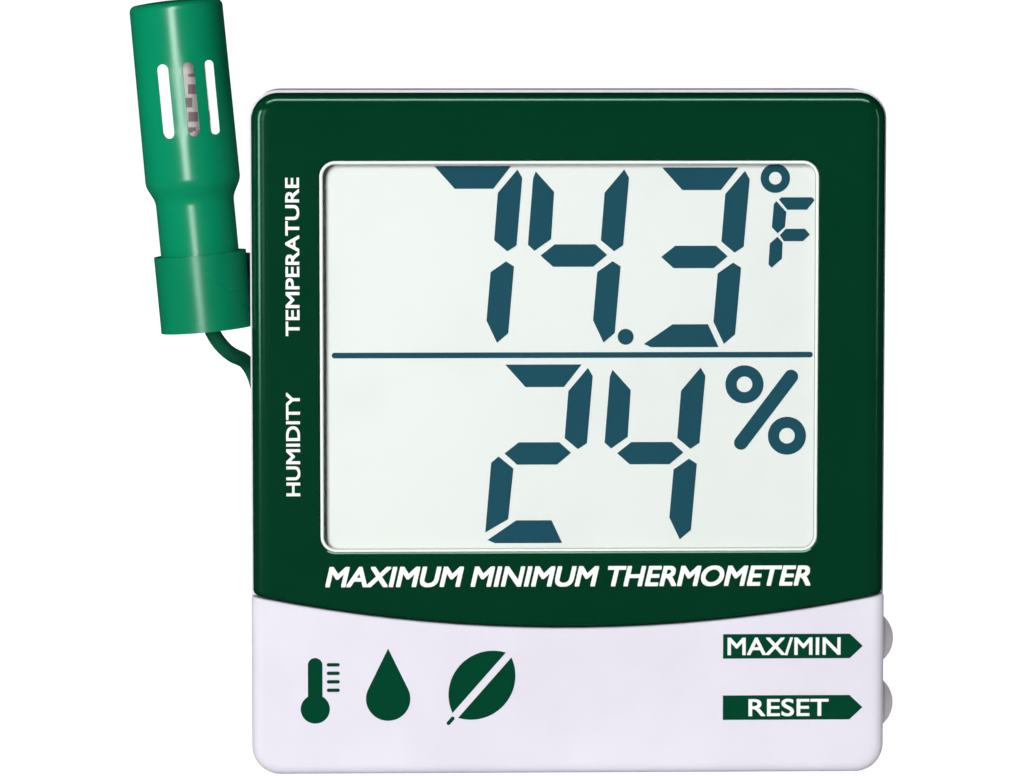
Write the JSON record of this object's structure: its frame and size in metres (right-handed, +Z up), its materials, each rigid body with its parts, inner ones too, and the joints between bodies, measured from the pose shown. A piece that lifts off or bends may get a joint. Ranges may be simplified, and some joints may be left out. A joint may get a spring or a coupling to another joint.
{
  "type": "maximum minimum thermometer",
  "caption": "Upright display case with large digits, a slotted air probe lifted from a side cup, coiled cable, side buttons, tilt stand and battery door.",
  "frame": {"origin": "middle of the case's underside, half way through its depth", "axes": "+X to the display's right, -Y out of the display, +Z up"},
  "size_m": [0.1212, 0.0514, 0.1223],
  "materials": {
    "white_plastic": "semi-gloss moulded",
    "dark_green_gloss": "high gloss",
    "clear_window": "clear polished",
    "lcd_film": "matt film",
    "lcd_glass": "polished",
    "lcd_reflector": "satin",
    "grey_foam": "matt",
    "inner_plastic": "matt moulded",
    "circuit_board": "solder mask",
    "black_epoxy": "glossy drop",
    "chip_ceramic": "fired ceramic",
    "black_plastic": "moulded",
    "grey_button": "satin moulded",
    "bright_metal": "plated",
    "magnet_nickel": "nickel plated",
    "battery_jacket": "printed sleeve, plain",
    "green_probe": "high gloss",
    "green_cable": "satin sheath",
    "sensor_polymer": "matt"
  },
  "bodies": {
    "case": {"front_case": "white_plastic", "rear_case": "white_plastic", "fascia": "dark_green_gloss", "display_window": "clear_window", "lcd_front_polariser": "lcd_film", "lcd_front_glass": "lcd_glass", "lcd_rear_glass": "lcd_glass", "lcd_reflector": "lcd_reflector", "lcd_cushion": "grey_foam", "lcd_frame": "inner_plastic", "zebra_strips": "grey_foam", "main_board": "circuit_board", "controller_blob": "black_epoxy", "board_components": "chip_ceramic", "crystal": "bright_metal", "probe_connector": "inner_plastic", "tactile_switches": "black_plastic", "board_screws": "bright_metal", "case_screws": "bright_metal", "unit_switch_body": "bright_metal", "battery": "battery_jacket", "battery_contacts": "bright_metal", "battery_spring": "bright_metal", "magnets": "magnet_nickel", "probe_holder": "green_probe", "cable_grommet": "green_cable", "cable_upper": "green_cable", "cable_coil": "green_cable", "cable_lower": "green_cable", "cable_inside": "green_cable"},
    "maxmin_button": {"maxmin_button": "grey_button"},
    "reset_button": {"reset_button": "grey_button"},
    "unit_switch": {"unit_switch_knob": "black_plastic"},
    "tilt_stand": {"tilt_stand": "white_plastic"},
    "battery_door": {"battery_door": "white_plastic"},
    "probe": {"probe_shell": "green_probe", "probe_plug": "green_probe", "cable_strain_relief": "green_cable", "probe_lead": "green_cable", "sensor_board": "circuit_board", "humidity_sensor": "sensor_polymer", "temperature_sensor": "black_epoxy"}
  },
  "joints": [
    {"name": "maxmin_press", "type": "slide", "parent": "case", "child": "maxmin_button", "axis": [-1, 0, 0], "range_m": [0, 0.0005], "stiffness_N_per_m": 1000, "springref_m": -0.001},
    {"name": "reset_press", "type": "slide", "parent": "case", "child": "reset_button", "axis": [-1, 0, 0], "range_m": [0, 0.0005], "stiffness_N_per_m": 1000, "springref_m": -0.001},
    {"name": "unit_switch_slide", "type": "slide", "parent": "case", "child": "unit_switch", "axis": [1, 0, 0], "range_m": [0, 0.002]},
    {"name": "stand_hinge", "type": "hinge", "parent": "case", "child": "tilt_stand", "pos_m": [0, 0.0084, 0.05], "axis": [1, 0, 0], "range_deg": [0, 40]},
    {"name": "door_hinge", "type": "hinge", "parent": "case", "child": "battery_door", "pos_m": [0, 0.00895, 0.06965], "axis": [-1, 0, 0], "range_deg": [0, 70]},
    {"name": "probe_lift", "type": "slide", "parent": "case", "child": "probe", "axis": [-0.0906, 0, 0.9959], "range_m": [0, 0.018]}
  ]
}
